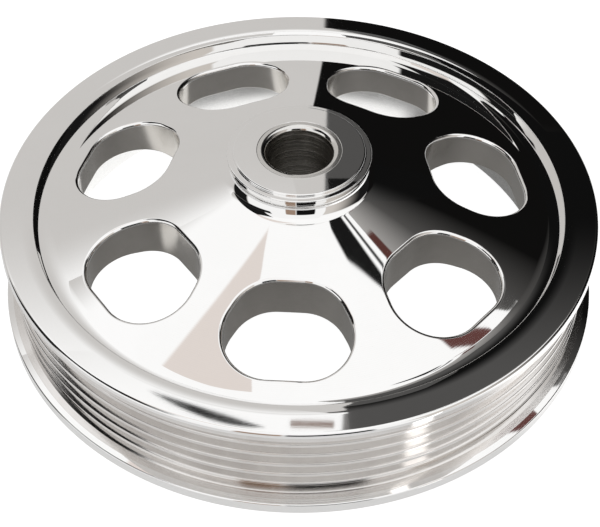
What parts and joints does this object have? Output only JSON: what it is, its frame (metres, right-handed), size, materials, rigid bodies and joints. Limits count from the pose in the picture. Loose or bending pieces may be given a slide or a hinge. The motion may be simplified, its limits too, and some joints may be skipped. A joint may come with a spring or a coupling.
{
  "type": "multi-rib accessory drive pulley",
  "caption": "Polished aluminium multi-rib belt pulley with a windowed cone web and a press-on, puller-groove hub lined with a steel bore sleeve.",
  "frame": {"origin": "on the turning axis, in the plane of the rim's rear face", "axes": "+Z along the turning axis towards the hub nose; -Y is the side nearest the viewer, with one window centred just left of it"},
  "size_m": [0.1486, 0.1486, 0.0422],
  "materials": {
    "polished_aluminium": "mirror polished",
    "bore_steel": "turned"
  },
  "bodies": {
    "root": {"wheel": "polished_aluminium", "bore_sleeve": "bore_steel"}
  },
  "joints": []
}
